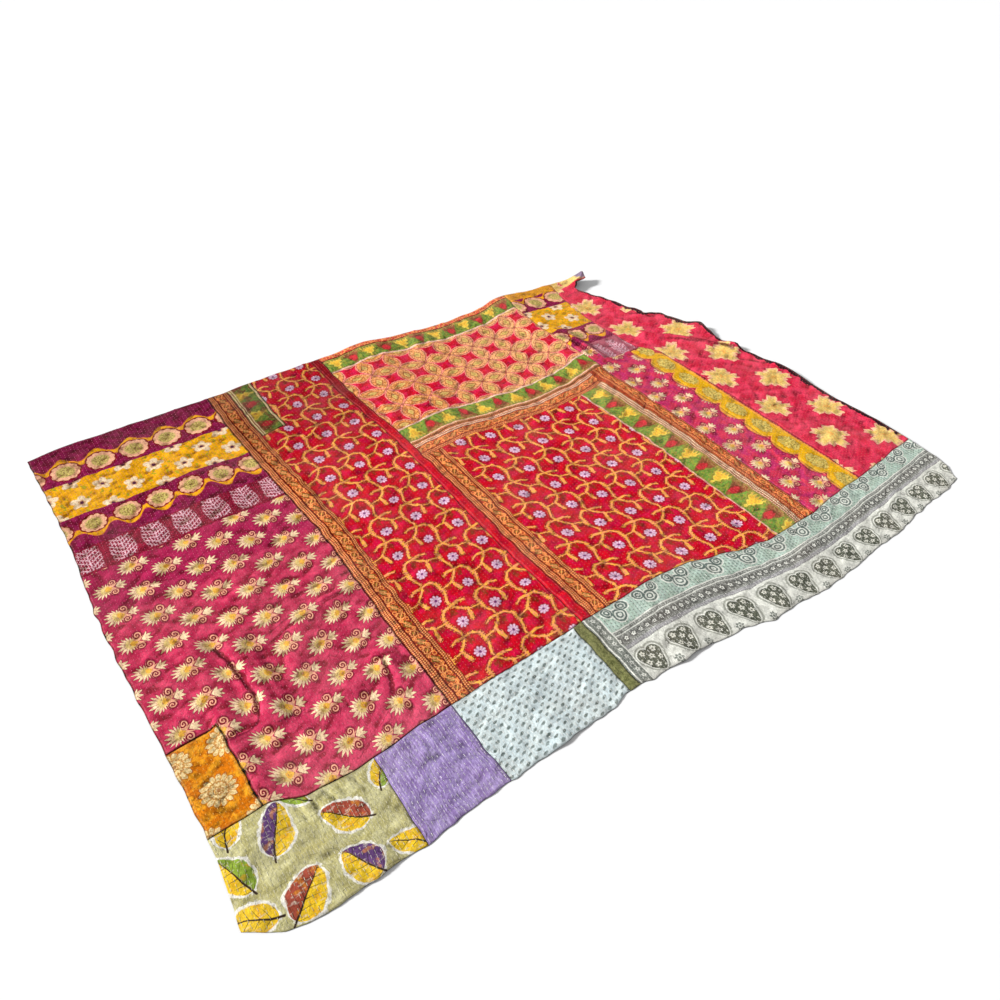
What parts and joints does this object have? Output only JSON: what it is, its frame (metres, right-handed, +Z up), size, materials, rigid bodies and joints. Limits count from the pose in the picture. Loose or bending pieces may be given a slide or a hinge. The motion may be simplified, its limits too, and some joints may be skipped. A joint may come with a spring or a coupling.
{
  "type": "kantha quilt",
  "caption": "Patchwork kantha quilt of printed sari cloths, quilted with running stitch and laid out flat, softly rumpled, with a ruffled edge and a raised corner tip.",
  "frame": {"origin": "on the floor, under the middle of the laid-out quilt's box", "axes": "+Z up, +X along the quilt's long side towards the ruffled edge, +Y across it from the near edge with the pale strip to the far edge"},
  "size_m": [2.1316, 1.5695, 0.037],
  "materials": {
    "leaf_panel": "matte olive-khaki cotton with painterly leaves",
    "lavender_panel": "matte plain lavender cotton with white running stitches",
    "dotted_panel": "matte pale blue-white cotton with small grey-green dots",
    "olive_band": "matte plain olive-green cotton",
    "block_print_panel": "matte off-white and pale green block-printed cotton",
    "orange_patch": "matte orange cotton with cream rosettes",
    "left_sari_panel": "soft pink-magenta sari cotton with cream sprigs",
    "red_strip": "soft red sari cotton with a yellow-orange vine and a printed border",
    "tree_patch": "soft green sari border cloth with yellow and dark red tree shapes",
    "crimson_band": "soft plain crimson cotton",
    "vine_panel": "soft red sari cotton with a yellow-orange vine and printed borders",
    "petal_panel": "soft orange and magenta sari cotton with a petal lattice",
    "right_sari_panel": "soft magenta sari cotton with small sprigs and printed blocks",
    "scallop_band": "soft yellow scalloped border cloth",
    "coral_panel": "soft coral-red sari cotton with large cream-yellow leaves"
  },
  "bodies": {
    "root": {"leaf_panel": "leaf_panel", "lavender_panel": "lavender_panel", "dotted_panel": "dotted_panel", "olive_band": "olive_band", "block_print_panel": "block_print_panel", "orange_patch": "orange_patch", "left_sari_panel": "left_sari_panel", "red_strip": "red_strip", "tree_patch": "tree_patch", "crimson_band": "crimson_band", "vine_panel": "vine_panel", "petal_panel": "petal_panel", "right_sari_panel": "right_sari_panel", "scallop_band": "scallop_band", "coral_panel": "coral_panel"}
  },
  "joints": []
}
